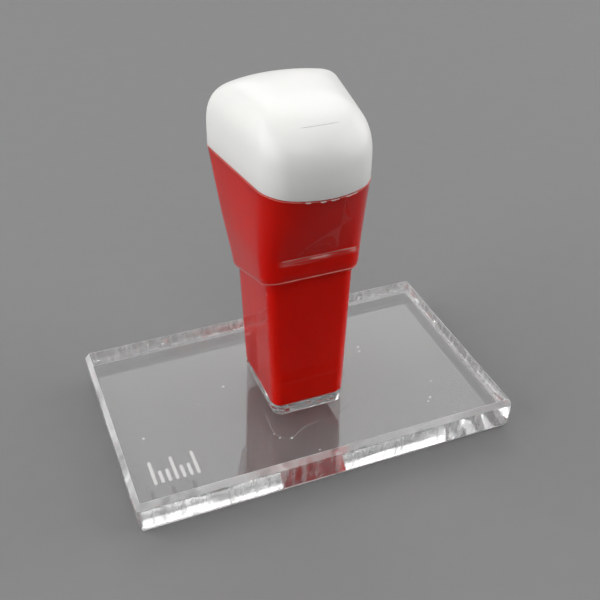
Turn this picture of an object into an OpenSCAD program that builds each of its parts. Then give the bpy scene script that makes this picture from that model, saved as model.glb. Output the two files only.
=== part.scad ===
// Hand stamp mount: a clear plate, a clear handle with a red core inside, and a white push-in cap.
// Frame: +X along the plate's long side, -Y towards the handle's finger side, +Z up.
// The origin is the middle of the plate's underside, the face that carries the printing die.

/* [Plate] */
// Length of the plate, left to right
plate_w = 58.5; // [50:0.5:70]
// Depth of the plate, front to back
plate_d = 35; // [30:0.5:45]
// Thickness of the plate
plate_t = 5.4; // [4:0.1:8]
// Width of the 45 degree polished edge, top and bottom
plate_arris = 0.6; // [0.3:0.1:0.6]
// Radius of the plate's upright corners
plate_corner_r = 0.8; // [0.7:0.1:3]

/* [Handle place] */
// Handle axis from the plate's middle, to the right
handle_x = -0.4; // [-3:0.1:3]
// Handle axis from the plate's middle, to the back
handle_y = -0.9; // [-3:0.1:3]
// Thickness of the cement film under the handle
bond_t = 0.1; // [0.05:0.05:0.2]
// Distance of the film's edge inside the foot's edge
bond_inset = 0.35; // [0.1:0.05:0.8]

/* [Stem] */
// Width of the handle's foot on the plate
foot_w = 11.1; // [9:0.1:13]
// Width of the stem under the shoulder
stem_w = 12.6; // [10:0.1:15]
// Depth of the stem, the same from foot to shoulder
stem_d = 13.8; // [11:0.1:16]
// Radius of the stem's upright corners
stem_r = 1.5; // [1.2:0.1:2.5]
// Height of the stem on the handle axis
stem_h = 21; // [14:0.5:30]

/* [Shoulder] */
// Slope of the shoulder, which falls towards the back
shoulder_a = 20; // [0:1:25]
// Step of the shoulder beyond the stem
shoulder_step = 0.85; // [0.5:0.05:1.5]
// Height over which the shoulder rounds out
shoulder_rise = 1.7; // [1:0.1:2.5]
// Height of the upright finger band at the front
band_h = 2.3; // [1:0.1:4]

/* [Grip] */
// Height from the finger band's top crease to the cap's seam
grip_h = 10.4; // [8:0.1:16]
// Spread of the sides and back at the crease, beyond the shoulder
waist_out = 0.65; // [0.3:0.05:1.2]
// Angle of each side at the crease, wider towards the back
waist_side_a = 4.5; // [0:0.5:6]
// Spread of the sides from the crease to the seam
grip_side_out = 0.8; // [0.5:0.1:2]
// Spread of the front from the crease to the seam
grip_front_out = 4.05; // [2:0.05:6]
// Spread of the back from the crease to the seam
grip_back_out = 2.55; // [1:0.05:4]
// Angle of each side at the seam, wider towards the back
grip_side_a = 8.5; // [6:0.5:9]
// Swell of the front at the seam
grip_front_bulge = 2.6; // [1:0.1:4]
// Swell of the back at the seam
grip_back_bulge = 2.8; // [0.5:0.1:3]
// Radius of the two front corners at the seam
grip_front_r = 4.6; // [4:0.1:6.5]
// Radius of the two back corners at the seam
grip_back_r = 2.6; // [2.4:0.1:5]

/* [Walls] */
// Wall of the clear shell
shell_wall = 0.55; // [0.4:0.05:1.2]
// Thickness of the clear floor in the handle's foot
shell_floor = 1.4; // [1:0.1:2.5]
// Gap between the shell and the red core
core_fit = 0.1; // [0.05:0.05:0.2]
// Wall of the red core
core_wall = 1.2; // [0.8:0.05:1.5]
// Thickness of the red core's floor
core_floor = 1.2; // [0.8:0.1:2]

/* [Cap] */
// Height of the cap's upright side
cap_side_h = 2.5; // [1.5:0.1:5]
// Height of the cap's dome above its upright side
cap_dome_h = 7; // [5:0.1:9]
// Power of the dome's curve in height: 2 is an ellipse, more is flatter on top
cap_rise_power = 2.7; // [2:0.1:4]
// Power of the dome's curve to the sides and the back
cap_side_power = 4.2; // [2:0.1:6]
// Power of the dome's curve to the front
cap_front_power = 2.7; // [2:0.1:6]
// Peak of the dome from the handle's axis, to the back
cap_peak_y = 0.9; // [0:0.1:2]
// Wall of the cap
cap_wall = 1.4; // [1:0.1:1.8]
// Depth of the cap's plug in the core
plug_depth = 4; // [2.5:0.5:6]
// Wall of the plug
plug_wall = 1; // [0.8:0.1:1.4]
// Clearance between the plug and the core
plug_fit = 0.2; // [0.15:0.05:0.3]
// Thickness of the web that joins the plug to the cap's side
plug_web = 1.2; // [0.8:0.1:1.8]
// Lead-in on the plug's lower edge
plug_lead = 0.4; // [0.2:0.1:0.6]
// Small bevel on both lips of the seam
seam_bevel = 0.15; // [0.05:0.05:0.3]

/* [Hidden] */

// Facets along half of an end, round a corner, round the shoulder, up the grip and over the cap
end_steps = 5;
corner_steps = 7;
shoulder_steps = 4;
grip_steps = 4;
dome_steps = 12;
// A straight end is drawn with a swell too small to see
flat_bulge = 0.02;
// Smallest corner radius left inside a wall
least_r = 0.5;
// Size of the small flat that closes the dome, as a share of its width
dome_flat = 0.06;

shoulder_slope = -tan(shoulder_a);
foot_z = plate_t + bond_t;
stem_z = foot_z + stem_h;
shoulder_front = stem_d / 2 + shoulder_step;
shoulder_z = stem_z + shoulder_rise;
waist_z = shoulder_z - shoulder_slope * shoulder_front + band_h;
seam_z = waist_z + grip_h;

// Insets of the nested walls from the handle's outer face
core_in = shell_wall + core_fit;
hollow_in = core_in + core_wall;
plug_in = hollow_in + plug_fit;
plug_hollow_in = plug_in + plug_wall;

// A plan is [half width, side slope, front, back, front swell, back swell, front radius, back radius]
foot_plan = [foot_w / 2, 0, stem_d / 2, stem_d / 2, 0, 0, stem_r, stem_r];
stem_plan = [stem_w / 2, 0, stem_d / 2, stem_d / 2, 0, 0, stem_r, stem_r];
waist_plan = [
  stem_w / 2 + shoulder_step + waist_out, tan(waist_side_a),
  shoulder_front, shoulder_front + waist_out,
  0, 0,
  stem_r + shoulder_step, stem_r + shoulder_step
];
grip_plan = [
  waist_plan[0] + grip_side_out, tan(grip_side_a),
  waist_plan[2] + grip_front_out, waist_plan[3] + grip_back_out,
  grip_front_bulge, grip_back_bulge,
  grip_front_r, grip_back_r
];

function blend(a, b, t) = a + (b - a) * t;
function flip(list) = [for (i = [len(list) - 1 : -1 : 0]) list[i]];
function tail(list) = [for (i = [1 : len(list) - 1]) list[i]];

// A plan moved inwards by one distance all round, or outwards by a negative one
function inset(p, d) = [
  p[0] - d, p[1], p[2] - d, p[3] - d, p[4], p[5],
  max(p[6] - d, least_r), max(p[7] - d, least_r)
];

// Right half of one end: a wide arc from the middle, then a corner arc to the straight side
function end_half(half_w, reach, swell, r) =
  let (
    s = max(swell, flat_bulge),
    arc_r = (half_w * half_w + s * s) / (2 * s),
    arc_y = reach - arc_r,
    corner_y = arc_y + sqrt(pow(arc_r - r, 2) - pow(half_w - r, 2)),
    turn = atan2(half_w - r, corner_y - arc_y)
  )
  concat(
    [for (i = [0 : end_steps]) arc_r * [sin(turn * i / end_steps), cos(turn * i / end_steps)] + [0, arc_y]],
    [for (i = [1 : corner_steps])
      let (a = blend(turn, 90, i / corner_steps))
      r * [sin(a), cos(a)] + [half_w - r, corner_y]]
  );

// Whole outline of a plan, anticlockwise from the middle of the front
function outline(p) =
  let (
    front = [for (q = end_half(p[0], p[2], p[4], p[6])) [q.x, -q.y]],
    back = end_half(p[0], p[3], p[5], p[7]),
    right = concat(front, flip(back)),
    left = [for (q = concat(tail(back), flip(tail(front)))) [-q.x, q.y]]
  )
  [for (q = concat(right, left)) [q.x * (1 + p[1] * q.y / p[0]), q.y]];

// Outline of a plan at one height, on a plane that may slope along Y
function ring(p, z, slope = 0) = [for (q = outline(p)) [q.x, q.y, z + slope * q.y]];

// Plan of the stem at a height above the foot, and of the grip at a height above the crease
function stem_at(h) = blend(foot_plan, stem_plan, h / stem_h);
function grip_at(h) = blend(waist_plan, grip_plan, h / grip_h);

// Rings of the handle from the shoulder line up to the seam, at one inset
function upper_rings(d) = concat(
  [for (i = [0 : shoulder_steps])
    let (a = 90 * i / shoulder_steps, plan = inset(stem_plan, d - shoulder_step * sin(a)))
    ring(plan, stem_z + shoulder_rise * (1 - cos(a)), shoulder_slope)],
  [for (i = [0 : grip_steps])
    let (h = grip_h * i / grip_steps)
    ring(inset(grip_at(h), d), waist_z + h)]
);

// Rings of the handle at one inset, from a floor at a height above the foot
function handle_rings(d, floor_h) = concat(
  [ring(inset(stem_at(floor_h), d), foot_z + floor_h)],
  upper_rings(d)
);

// The same with the outer lip bevelled at the seam
function lipped_rings(d, floor_h) =
  let (rings = handle_rings(d, floor_h), last = len(rings) - 1)
  concat(
    [for (i = [0 : last - 1]) rings[i]],
    [
      ring(inset(grip_at(grip_h - seam_bevel), d), seam_z - seam_bevel),
      ring(inset(grip_plan, d + seam_bevel), seam_z)
    ]
  );

// Angle at which the dome ends in its small flat
dome_end = acos(pow(dome_flat, cap_side_power / 2));

// One ring of the cap's dome, set inwards by a wall; it draws in sooner towards the front
function dome_ring(a, wall) =
  let (
    plan = inset(grip_plan, wall),
    side = pow(cos(a), 2 / cap_side_power),
    front = pow(cos(a), 2 / cap_front_power),
    z = seam_z + cap_side_h + (cap_dome_h - wall) * pow(sin(a), 2 / cap_rise_power)
  )
  [for (q = outline(plan))
    let (
      t = max(cap_peak_y - q.y, 0) / (cap_peak_y + plan[2]),
      draw = blend(side, front, t * t * (3 - 2 * t))
    )
    [q.x * side, blend(cap_peak_y, q.y, draw), z]];

// Skin of the cap's dome from the upright side to the flat, set inwards by a wall
function dome_rings(wall) = [for (i = [0 : dome_steps]) dome_ring(dome_end * i / dome_steps, wall)];

// Plug of the cap: it follows the core's tapered mouth
function plug_ring(d, depth) = ring(inset(grip_at(grip_h - depth), d), seam_z - depth);

// Closed solid through a list of rings, with a flat face on the first and the last
module skin(rings) {
  count = len(rings[0]);
  last = len(rings) - 1;
  points = [for (r = rings) each r];
  sides = [for (k = [0 : last - 1], i = [0 : count - 1])
    let (
      j = (i + 1) % count,
      a = k * count + i,
      b = k * count + j,
      c = b + count,
      d = a + count
    )
    each [[a, d, c], [a, c, b]]];
  first_face = [for (i = [0 : count - 1]) i];
  last_face = [for (i = [count - 1 : -1 : 0]) last * count + i];
  polyhedron(points = points, faces = concat([first_face, last_face], sides));
}

module on_handle_axis() {
  translate([handle_x, handle_y, 0]) children();
}

// Half profile of the plate's edge: upright face with an arris above and below
module edge_profile(half) {
  polygon([
    [0, 0],
    [half - plate_arris, 0],
    [half, plate_arris],
    [half, plate_t - plate_arris],
    [half - plate_arris, plate_t],
    [0, plate_t]
  ]);
}

module slab(half, length) {
  rotate([90, 0, 0])
    linear_extrude(length, center = true) {
      edge_profile(half);
      mirror([1, 0]) edge_profile(half);
    }
}

module base_plate() {
  corner_x = plate_w / 2 - plate_corner_r;
  corner_y = plate_d / 2 - plate_corner_r;
  color([0.82, 0.86, 0.86, 0.4]) {
    slab(plate_w / 2, 2 * corner_y);
    rotate([0, 0, 90]) slab(plate_d / 2, 2 * corner_x);
    for (x = [-corner_x, corner_x], y = [-corner_y, corner_y])
      translate([x, y, 0]) rotate_extrude($fn = 48) edge_profile(plate_corner_r);
  }
}

module cement_film() {
  color([0.9, 0.9, 0.86, 0.5])
    on_handle_axis()
      translate([0, 0, plate_t])
        linear_extrude(bond_t) polygon(outline(inset(foot_plan, bond_inset)));
}

module handle_shell() {
  color([0.9, 0.92, 0.92, 0.35])
    on_handle_axis()
      skin(concat(lipped_rings(0, 0), flip(handle_rings(shell_wall, shell_floor))));
}

module colour_core() {
  color([0.68, 0.02, 0.02])
    on_handle_axis()
      skin(concat(
        handle_rings(core_in, shell_floor),
        flip(handle_rings(hollow_in, shell_floor + core_floor))
      ));
}

module cap() {
  web = inset(grip_plan, plug_hollow_in);
  color([0.95, 0.95, 0.93])
    on_handle_axis()
      skin(concat(
        flip(dome_rings(cap_wall)),
        [
          ring(inset(grip_plan, cap_wall), seam_z + plug_web),
          ring(web, seam_z + plug_web),
          plug_ring(plug_hollow_in, 0),
          plug_ring(plug_hollow_in, plug_depth),
          plug_ring(plug_in + plug_lead, plug_depth),
          plug_ring(plug_in, plug_depth - plug_lead),
          plug_ring(plug_in, 0),
          ring(inset(grip_plan, seam_bevel), seam_z),
          ring(grip_plan, seam_z + seam_bevel)
        ],
        dome_rings(0)
      ));
}

base_plate();
cement_film();
handle_shell();
colour_core();
cap();
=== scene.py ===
"""Looks of a hand stamp mount: a clear plate, a clear-skinned red handle and a white push-in cap."""

from __future__ import annotations

import logging
import math
import random
from dataclasses import dataclass, replace
from enum import Enum
from typing import Any, Sequence, Union

import bmesh
import bpy
from bmesh.types import BMesh, BMFace, BMVert
from bpy.types import Material, NodeSocket, Object
from mathutils import Matrix, Vector, noise

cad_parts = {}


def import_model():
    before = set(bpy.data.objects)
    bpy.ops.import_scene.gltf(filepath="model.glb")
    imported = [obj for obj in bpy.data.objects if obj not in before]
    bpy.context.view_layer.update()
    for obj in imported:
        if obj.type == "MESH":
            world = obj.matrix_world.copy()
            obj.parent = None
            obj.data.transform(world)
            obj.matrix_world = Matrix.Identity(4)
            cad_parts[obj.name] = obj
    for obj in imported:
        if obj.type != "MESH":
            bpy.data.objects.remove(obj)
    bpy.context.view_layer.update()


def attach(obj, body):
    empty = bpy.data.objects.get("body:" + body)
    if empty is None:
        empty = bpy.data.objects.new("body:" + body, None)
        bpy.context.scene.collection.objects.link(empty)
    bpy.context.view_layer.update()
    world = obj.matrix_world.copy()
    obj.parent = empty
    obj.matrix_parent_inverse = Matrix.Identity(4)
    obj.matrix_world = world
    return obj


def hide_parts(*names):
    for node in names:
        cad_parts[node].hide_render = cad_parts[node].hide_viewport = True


LOG = logging.getLogger("stamp_mount")
MM = 0.001
ACRYLIC_IOR = 1.49

Point = tuple[float, float]
Spot = tuple[float, float, float]
Colour = tuple[float, float, float, float]
Value = Union["Sock", float]


class Body(Enum):
    """Bodies of the part that a piece can ride on."""

    MOUNT = "mount"
    CAP = "cap"


class Slot(Enum):
    """Material slots of the record."""

    PLATE = "clear_plate"
    CEMENT = "cement"
    SHELL = "clear_shell"
    RED = "red_plastic"
    WHITE = "white_plastic"


class Sock:
    """A shader output whose arithmetic adds Math nodes to its graph."""

    def __init__(self, graph: Graph, socket: NodeSocket) -> None:
        """Wrap one output socket of a graph."""
        self.graph = graph
        self.socket = socket

    def other(self, name: str) -> Sock:
        """Another output of the same node."""
        return Sock(self.graph, self.socket.node.outputs[name])

    def math(self, operation: str, *values: Value) -> Sock:
        """Add one Math node that works on the given values."""
        return self.graph.node("ShaderNodeMath", {"operation": operation}, dict(enumerate(values)))

    def __add__(self, other: Value) -> Sock:
        """Sum."""
        return self.math("ADD", self, other)

    def __radd__(self, other: Value) -> Sock:
        """Sum with a plain number on the left."""
        return self.math("ADD", other, self)

    def __sub__(self, other: Value) -> Sock:
        """Difference."""
        return self.math("SUBTRACT", self, other)

    def __rsub__(self, other: Value) -> Sock:
        """Difference with a plain number on the left."""
        return self.math("SUBTRACT", other, self)

    def __mul__(self, other: Value) -> Sock:
        """Product."""
        return self.math("MULTIPLY", self, other)

    def __rmul__(self, other: Value) -> Sock:
        """Product with a plain number on the left."""
        return self.math("MULTIPLY", other, self)

    def __pow__(self, other: Value) -> Sock:
        """Power."""
        return self.math("POWER", self, other)

    def __abs__(self) -> Sock:
        """Size without sign."""
        return self.math("ABSOLUTE", self)

    def __lt__(self, other: Value) -> Sock:
        """1 where this is less than the other value."""
        return self.math("LESS_THAN", self, other)

    def __gt__(self, other: Value) -> Sock:
        """1 where this is more than the other value."""
        return self.math("GREATER_THAN", self, other)

    def rise(self, low: float, high: float) -> Sock:
        """Smooth step from 0 at low to 1 at high.

        Args:
            low: value at which the step starts.
            high: value at which the step ends.

        Returns:
            The stepped value.
        """
        return self.graph.node(
            "ShaderNodeMapRange",
            {"interpolation_type": "SMOOTHSTEP"},
            {"Value": self, "From Min": low, "From Max": high},
        )


class Graph:
    """The node tree of one new material, or of the room."""

    def __init__(self, name: str, room: bool = False) -> None:
        """Make an empty material or room.

        Args:
            name: its name.
            room: whether it is the room and not a material.
        """
        self.owner = (bpy.data.worlds if room else bpy.data.materials).new(name)
        self.owner.use_nodes = True
        self.tree = self.owner.node_tree
        self.tree.nodes.clear()

    def node(
        self,
        kind: str,
        settings: dict[str, Any] | None = None,
        inputs: dict[int | str, Any] | None = None,
        out: int | str | None = 0,
    ) -> Sock | None:
        """Add one node.

        Args:
            kind: Blender's type name of the node.
            settings: properties of the node, set before its sockets.
            inputs: values or links of its sockets, by index or name.
            out: which output to hand back, or None for a node without outputs.

        Returns:
            The chosen output.
        """
        made = self.tree.nodes.new(kind)
        for name, value in (settings or {}).items():
            setattr(made, name, value)
        for key, value in (inputs or {}).items():
            if isinstance(value, Sock):
                self.tree.links.new(value.socket, made.inputs[key])
            else:
                made.inputs[key].default_value = value
        return None if out is None else Sock(self, made.outputs[out])

    def place(self) -> Sock:
        """Coordinates of the surface in the row frame, in metres."""
        return self.node("ShaderNodeTexCoord", out="Object")

    def grain(self, at: Sock, scale: float, detail: float = 3.0) -> Sock:
        """Noise between 0 and 1, with that many features to a metre."""
        return self.node("ShaderNodeTexNoise", {}, {"Vector": at, "Scale": scale, "Detail": detail}, "Fac")

    def stretched(self, at: Sock, scale: Spot) -> Sock:
        """Coordinates drawn out by a different factor along each axis."""
        return self.node("ShaderNodeMapping", {}, {"Vector": at, "Scale": scale})

    def tint(self, low: Colour | Sock, high: Colour | Sock, share: Value) -> Sock:
        """Colour between two others."""
        return self.node("ShaderNodeMix", {"data_type": "RGBA"}, {0: share, 6: low, 7: high}, 2)

    def bump(self, height: Sock, depth: float) -> Sock:
        """Normal of a surface with that relief, depth in metres."""
        relief = {"Strength": 1.0, "Distance": depth, "Height": height}
        return self.node("ShaderNodeBump", {}, relief, "Normal")

    def mixed(self, first: Sock, second: Sock, share: Value) -> Sock:
        """Two shaders mixed by a share of the second."""
        return self.node("ShaderNodeMixShader", {}, {0: share, 1: first, 2: second})

    def axes(self, at: Sock) -> tuple[Sock, Sock, Sock]:
        """The three numbers of a coordinate."""
        x = self.node("ShaderNodeSeparateXYZ", {}, {0: at}, "X")
        return x, x.other("Y"), x.other("Z")

    def plastic(self, inputs: dict[str, Any]) -> Sock:
        """Principled shader with these values or links."""
        return self.node("ShaderNodeBsdfPrincipled", {}, inputs)

    def chalk(self, colour: Colour) -> Sock:
        """Plain matt shader for specks and milkiness."""
        return self.plastic({"Base Color": colour, "Roughness": 0.7})

    def open_way(self) -> Sock:
        """Shader that lets all light straight through."""
        return self.node("ShaderNodeBsdfTransparent", {}, {"Color": (1.0, 1.0, 1.0, 1.0)})

    def finished(self, shader: Sock) -> Material:
        """The material, with this shader as its surface."""
        self.node("ShaderNodeOutputMaterial", {}, {"Surface": shader}, None)
        return self.owner


@dataclass(frozen=True)
class ClearFinish:
    """Polished clear plastic with faint ripples, fine haze and, where asked for, dust and smears."""

    name: str
    body: Colour = (0.985, 0.99, 0.988, 1.0)
    ior: float = ACRYLIC_IOR
    ripple: float = 0.000002
    ripple_scale: float = 110.0
    haze_scale: float = 800.0
    haze: float = 0.012
    shine: Colour = (1.0, 1.0, 1.0, 1.0)
    dust: float = 0.0
    smear: float = 0.0
    dust_colour: Colour = (0.85, 0.85, 0.84, 1.0)
    dust_cells: float = 420.0
    dust_r: float = 0.06
    dust_cover: float = 0.6

    def make(self) -> Material:
        """Build the material.

        Returns:
            Clear plastic that bends what is seen through it.
        """
        g = Graph(self.name)
        at = g.place()
        fine = g.grain(at, self.haze_scale, 5.0)
        wave = g.grain(at, self.ripple_scale, 1.0)
        glass = g.plastic(
            {
                "Base Color": self.body,
                "Roughness": self.haze * fine**2.0,
                "IOR": self.ior,
                "Transmission Weight": 1.0,
                "Specular Tint": self.shine,
                "Normal": g.bump(wave, self.ripple),
            },
        )
        if not self.dust:
            return g.finished(glass)
        spread = {"Vector": at, "Scale": self.dust_cells, "Randomness": 1.0}
        cells = g.node("ShaderNodeTexVoronoi", {}, spread, "Distance")
        picked = g.node("ShaderNodeSeparateColor", {}, {0: cells.other("Color")}, 0)
        specks = (cells < self.dust_r) * (picked > 1.0 - self.dust)
        share = specks * self.dust_cover + self.smear * (0.4 + 1.2 * fine)
        return g.finished(g.mixed(glass, g.chalk(self.dust_colour), share))


@dataclass(frozen=True)
class CutFinish:
    """Cut and polished clear plastic: soft streaks and a little milkiness."""

    name: str
    body: Colour = (0.975, 0.985, 0.98, 1.0)
    milky: Colour = (0.86, 0.87, 0.87, 1.0)
    ior: float = ACRYLIC_IOR
    rough: float = 0.03
    milk: float = 0.06
    relief: float = 0.000005
    streaks: Spot = (1100.0, 1100.0, 130.0)
    cloud_scale: float = 260.0
    matt_rough: float = 0.3
    matt_milk: float = 0.14

    def matt(self, g: Graph, at: Sock) -> Value:
        """Share of the face that is matt: none on a plain cut face."""
        return 0.0

    def make(self) -> Material:
        """Build the material.

        Returns:
            Clear plastic that blurs what is seen through it.
        """
        g = Graph(self.name)
        at = g.place()
        lines = g.grain(g.stretched(at, self.streaks), 1.0, 3.0)
        cloud = g.grain(at, self.cloud_scale, 3.0)
        matt = self.matt(g, at)
        glass = g.plastic(
            {
                "Base Color": self.body,
                "Roughness": self.rough * (0.3 + 1.4 * cloud) + matt * self.matt_rough,
                "IOR": self.ior,
                "Transmission Weight": 1.0,
                "Normal": g.bump(lines, self.relief),
            },
        )
        share = self.milk * (cloud.rise(0.3, 0.7) + lines.rise(0.45, 0.7)) + matt * self.matt_milk
        return g.finished(g.mixed(glass, g.chalk(self.milky), share))


@dataclass(frozen=True)
class EdgeFinish(CutFinish):
    """The plate's edge, clear on its crowned side and hazy on its corners."""

    side: Point = (0.6, 4.55)
    soft: float = 0.1

    def matt(self, g: Graph, at: Sock) -> Value:
        """Share of the edge that is matt.

        Args:
            g: graph of the material.
            at: coordinates of the surface.

        Returns:
            1 on the corners, 0 on the side.
        """
        low, high = self.side
        half, soft = (high - low) / 2, self.soft / 2
        _, _, z = g.axes(at)
        return abs(z - (low + high) / 2 * MM).rise((half - soft) * MM, (half + soft) * MM)


@dataclass(frozen=True)
class RedFinish:
    """Deep red plastic seen through the clear skin."""

    deep: Colour = (0.84, 0.006, 0.002, 1.0)
    bright: Colour = (0.95, 0.014, 0.004, 1.0)
    flow: Spot = (90.0, 90.0, 35.0)
    fine_scale: float = 1500.0
    relief: float = 0.000004

    def make(self) -> Material:
        """Build the material.

        Returns:
            Red plastic with soft flow marks and fine specks.
        """
        g = Graph("red_core")
        at = g.place()
        flow = g.grain(g.stretched(at, self.flow), 1.0, 2.0)
        fine = g.grain(at, self.fine_scale, 4.0)
        colour = g.tint(self.deep, self.bright, (flow * 0.8 + fine * 0.3).rise(0.3, 0.8))
        return g.finished(
            g.plastic(
                {
                    "Base Color": colour,
                    "Roughness": 0.35 + 0.15 * fine,
                    "Specular IOR Level": 0.0,
                    "Normal": g.bump(fine, self.relief),
                },
            )
        )


@dataclass(frozen=True)
class WhiteFinish:
    """Gloss white plastic with a fine scribed line on top."""

    pale: Colour = (0.78, 0.78, 0.76, 1.0)
    warm: Colour = (0.82, 0.815, 0.79, 1.0)
    line: Colour = (0.5, 0.5, 0.48, 1.0)
    line_x: Point = (-3.3, 2.5)
    line_y: float = -8.95
    line_bow: float = 0.27
    line_half_w: float = 0.08
    line_fade: Point = (0.8, 1.4)
    line_z: float = 50.5
    skin_scale: float = 260.0
    fine_scale: float = 1800.0
    relief: float = 0.000012

    def make(self) -> Material:
        """Build the material.

        Returns:
            White plastic with a soft skin and the scribed line.
        """
        g = Graph("white_cap")
        at = g.place()
        x, y, z = g.axes(at)
        skin = g.grain(at, self.skin_scale, 3.0)
        fine = g.grain(at, self.fine_scale, 3.0)
        start, end = self.line_x
        fade_in, fade_out = self.line_fade
        along = x * (2 / (end - start) / MM) - (end + start) / (end - start)
        across = abs(y - self.line_y * MM + (1.0 - along * along) * (self.line_bow * MM))
        ends = x.rise(start * MM, (start + fade_in) * MM) * (1.0 - x.rise((end - fade_out) * MM, end * MM))
        stroke = 1.0 - across.rise(0.3 * self.line_half_w * MM, self.line_half_w * MM)
        scribed = stroke * ends * (z > self.line_z * MM)
        base = g.tint(self.pale, self.warm, skin)
        colour = g.tint(base, self.line, scribed * 0.8)
        height = skin * 0.6 + fine * 0.1 - scribed * 2.0
        return g.finished(
            g.plastic(
                {
                    "Base Color": colour,
                    "Roughness": 0.34 + 0.12 * skin,
                    "IOR": ACRYLIC_IOR,
                    "Coat Weight": 0.08,
                    "Coat Roughness": 0.15,
                    "Normal": g.bump(height, self.relief),
                },
            )
        )


@dataclass(frozen=True)
class FrostFinish:
    """Whitened, roughened plastic: ruled marks, dried cement, flash, crumbs and the pale beads of the painted
    highlight lines.
    """

    name: str
    colour: Colour = (0.82, 0.83, 0.82, 1.0)
    rough: float = 0.55
    clear: float = 0.45
    fine_scale: float = 2600.0
    relief: float = 0.00002

    def make(self) -> Material:
        """Build the material.

        Returns:
            Cloudy plastic that lets part of the light through.
        """
        g = Graph(self.name)
        at = g.place()
        fine = g.grain(at, self.fine_scale, 4.0)
        cloud = tuple(c * 0.8 for c in self.colour[:3]) + (1.0,)
        body = g.plastic(
            {
                "Base Color": g.tint(cloud, self.colour, fine),
                "Roughness": self.rough * (0.7 + 0.6 * fine),
                "IOR": ACRYLIC_IOR,
                "Normal": g.bump(fine, self.relief),
            },
        )
        return g.finished(g.mixed(body, g.open_way(), self.clear * (0.6 + 0.8 * fine)))


@dataclass(frozen=True)
class BandHighlightFinish:
    """Painted highlight: pale streaks on a film that is clear elsewhere, standing in for the band's
    reflection under the crease.
    """

    crease_z: float
    height: float
    ends: Point
    colour: Colour = (0.98, 0.52, 0.47, 1.0)
    end_fade: Point = (1.6, 0.8)
    edge: Point = (0.16, 0.1)
    streaks: Spot = (230.0, 230.0, 2300.0)

    def make(self) -> Material:
        """Build the material.

        Returns:
            Painted highlight streaks that are strongest under the crease and fade downwards and to both ends.
        """
        g = Graph("band_highlight")
        at = g.place()
        x, _, z = g.axes(at)
        low, high = self.ends
        fade_in, fade_out = self.end_fade
        edge_low, edge_high = self.edge
        streaks = g.grain(g.stretched(at, self.streaks), 1.0, 4.0).rise(0.46, 0.6)
        fade = z.rise((self.crease_z - self.height) * MM, (self.crease_z - 0.35 * self.height) * MM)
        fade = fade * x.rise(low * MM, (low + fade_in) * MM)
        fade = fade * (1.0 - x.rise((high - fade_out) * MM, high * MM))
        edge = z.rise((self.crease_z - edge_low) * MM, (self.crease_z - edge_high) * MM)
        # Share of the painted highlight: faint over the film, strong on the streaks and along the edge just
        # under the crease.
        share = fade * (0.06 + 0.5 * streaks + 0.6 * edge)
        body = g.plastic({"Base Color": self.colour, "Roughness": 0.3 + 0.3 * streaks})
        return g.finished(g.mixed(g.open_way(), body, share))


@dataclass(frozen=True)
class FloorFinish:
    """Plain pale matt floor that fades into the room."""

    low: Colour = (0.205, 0.205, 0.207, 1.0)
    high: Colour = (0.217, 0.217, 0.219, 1.0)
    fade: Point = (0.4, 0.95)
    grain_scale: float = 300.0

    def make(self) -> Material:
        """Build the material.

        Returns:
            Matt pale grey with a barely seen grain.
        """
        g = Graph("pale_floor")
        at = g.place()
        colour = g.tint(self.low, self.high, g.grain(at, self.grain_scale, 4.0))
        floor = g.plastic({"Base Color": colour, "Roughness": 0.85, "Specular IOR Level": 0.2})
        away = g.node("ShaderNodeVectorMath", {"operation": "LENGTH"}, {0: at}, "Value")
        return g.finished(g.mixed(floor, g.open_way(), away.rise(*self.fade)))


def settle(mesh: BMesh, name: str, materials: Sequence[Material], sharp: float = 32.0) -> Object:
    """Turn a working mesh in millimetres into a shown object in metres.

    Args:
        mesh: the working mesh, which is used up.
        name: name of the new object.
        materials: its finishes, in the order of the faces' numbers.
        sharp: angle in degrees above which an edge stays sharp.

    Returns:
        The new object.
    """
    bmesh.ops.scale(mesh, vec=(MM, MM, MM), verts=mesh.verts)
    data = bpy.data.meshes.new(name)
    mesh.to_mesh(data)
    mesh.free()
    data.shade_smooth()
    data.set_sharp_from_angle(angle=math.radians(sharp))
    for material in materials:
        data.materials.append(material)
    made = bpy.data.objects.new(name, data)
    bpy.context.scene.collection.objects.link(made)
    return made


def slope_of(angle: float) -> float:
    """Rise for each unit of run, from an angle in degrees."""
    return math.tan(math.radians(angle))


def bridge(mesh: BMesh, rows: Sequence[Sequence[BMVert]], closed: bool) -> list[list[BMFace]]:
    """Fill the space between rows of equal count with four-sided faces.

    Args:
        mesh: working mesh that takes the faces.
        rows: rows of vertices, in order.
        closed: whether each row runs back to its start.

    Returns:
        The faces of each band between two rows.
    """
    count = len(rows[0])
    steps = [(i, (i + 1) % count) for i in range(count if closed else count - 1)]
    return [
        [mesh.faces.new((low[i], low[j], high[j], high[i])) for i, j in steps]
        for low, high in zip(rows, rows[1:])
    ]


def join_rings(mesh: BMesh, rings: Sequence[Sequence[Spot]], first: bool, last: bool) -> list[list[BMFace]]:
    """Join rings of equal count into one surface.

    Args:
        mesh: working mesh that takes the faces.
        rings: rings in order, each anticlockwise seen from above.
        first: whether a flat face closes the first ring.
        last: whether a flat face closes the last ring.

    Returns:
        The faces of each band between two rings.
    """
    rows = [[mesh.verts.new(p) for p in ring] for ring in rings]
    bands = bridge(mesh, rows, True)
    if first:
        mesh.faces.new(rows[0][::-1])
    if last:
        mesh.faces.new(rows[-1])
    return bands


def number_faces(bands: Sequence[Sequence[BMFace]], number: int) -> None:
    """Give every face of some bands the number of a finish.

    Args:
        bands: the bands of faces.
        number: place of the finish in the object's list.
    """
    for band in bands:
        for face in band:
            face.material_index = number


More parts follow.
